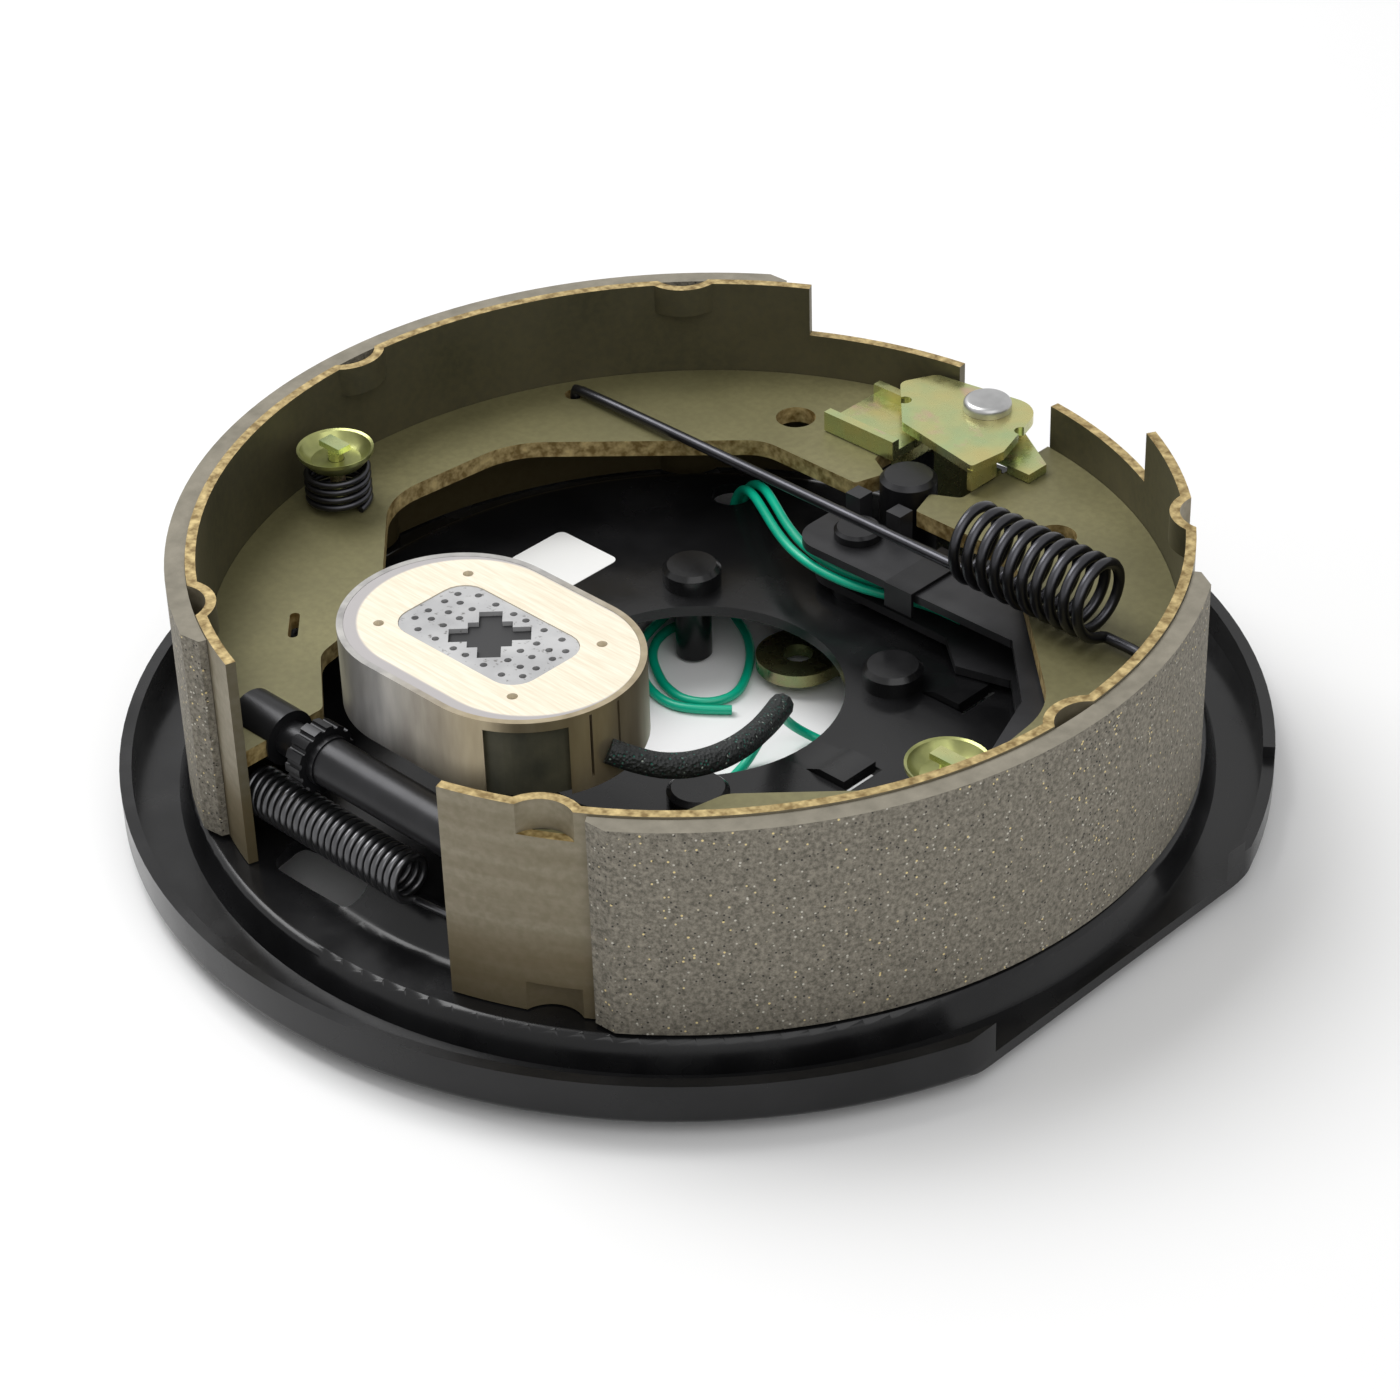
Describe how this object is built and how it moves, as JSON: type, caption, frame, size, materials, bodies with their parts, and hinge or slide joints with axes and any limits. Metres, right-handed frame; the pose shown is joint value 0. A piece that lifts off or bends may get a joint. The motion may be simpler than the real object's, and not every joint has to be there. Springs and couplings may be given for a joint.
{
  "type": "electric trailer brake assembly",
  "caption": "Left-hand electric drum brake for a trailer axle: pressed backing plate, two lined shoes, electromagnet on a pivoting arm, adjuster and park brake expander.",
  "frame": {"origin": "centre of the stud circle and of the hub opening, on the mounting face behind the backing plate", "axes": "+Z along the axle towards the drum, +Y towards the anchor post, +X towards the shorter lining"},
  "size_m": [0.2775, 0.287, 0.0726],
  "materials": {
    "plate_black": "gloss",
    "shoe_olive": "satin",
    "lining": "matte",
    "zinc_yellow": "satin",
    "arm_grey": "satin",
    "spring_steel": "satin",
    "bright_steel": "satin",
    "friction_cream": "satin",
    "potting_grey": "matte",
    "black_plastic": "satin",
    "copper": "satin",
    "aluminium": "satin",
    "wire_teal": "satin",
    "braid_black": "matte"
  },
  "bodies": {
    "base": {"backing_plate": "plate_black", "mounting_studs": "plate_black", "anchor_post": "arm_grey", "hold_down_pins": "zinc_yellow", "hold_down_cups": "zinc_yellow", "hold_down_springs": "spring_steel", "return_spring": "spring_steel", "adjuster_screw": "arm_grey", "adjuster_tube": "arm_grey", "adjuster_spring": "spring_steel", "arm_pivot_pin": "arm_grey", "expander_rivet": "aluminium", "expander_plate": "zinc_yellow", "expander_strut": "zinc_yellow", "lead_1": "wire_teal", "lead_2": "wire_teal", "magnet_lead_1": "wire_teal", "magnet_lead_2": "wire_teal"},
    "star": {"star_wheel": "arm_grey"},
    "near_shoe": {"shoe_web_near": "shoe_olive", "shoe_table_near": "shoe_olive", "lining_near": "lining"},
    "far_shoe": {"shoe_web_far": "shoe_olive", "shoe_table_far": "shoe_olive", "lining_far": "lining"},
    "arm": {"actuating_arm": "arm_grey", "wire_clip": "arm_grey", "magnet_pin": "arm_grey", "magnet_spring": "spring_steel"},
    "magnet": {"magnet_shell": "bright_steel", "magnet_face": "friction_cream", "magnet_insert": "potting_grey", "magnet_retainer": "black_plastic", "magnet_coil": "copper", "braided_sleeve": "braid_black"},
    "lever": {"park_lever": "zinc_yellow"}
  },
  "joints": [
    {"name": "near_shoe_pivot", "type": "hinge", "parent": "base", "child": "near_shoe", "pos_m": [0.036, -0.1003, 0.024], "axis": [0, 0, 1], "range_deg": [-1, 0], "stiffness_Nm_per_rad": 20, "deforming": ["return_spring", "adjuster_spring", "hold_down_springs"]},
    {"name": "far_shoe_pivot", "type": "hinge", "parent": "base", "child": "far_shoe", "pos_m": [-0.036, -0.1003, 0.024], "axis": [0, 0, 1], "range_deg": [0, 1], "stiffness_Nm_per_rad": 20, "deforming": ["return_spring", "adjuster_spring", "hold_down_springs"]},
    {"name": "arm_pivot", "type": "hinge", "parent": "base", "child": "arm", "pos_m": [0, 0.0605, 0.012], "axis": [0, 0, 1], "range_deg": [-2.5, 2.5]},
    {"name": "magnet_slide", "type": "slide", "parent": "arm", "child": "magnet", "axis": [0, 0, 1], "range_m": [-0.0015, 0], "stiffness_N_per_m": 1500, "deforming": ["magnet_spring"]},
    {"name": "park_lever_pivot", "type": "hinge", "parent": "base", "child": "lever", "pos_m": [0, 0.111, 0.03], "axis": [0, 0, 1], "range_deg": [0, 6]},
    {"name": "star_wheel_turn", "type": "hinge", "parent": "base", "child": "star", "pos_m": [-0.0245, -0.1003, 0.024], "axis": [1, 0, 0], "continuous": true}
  ]
}
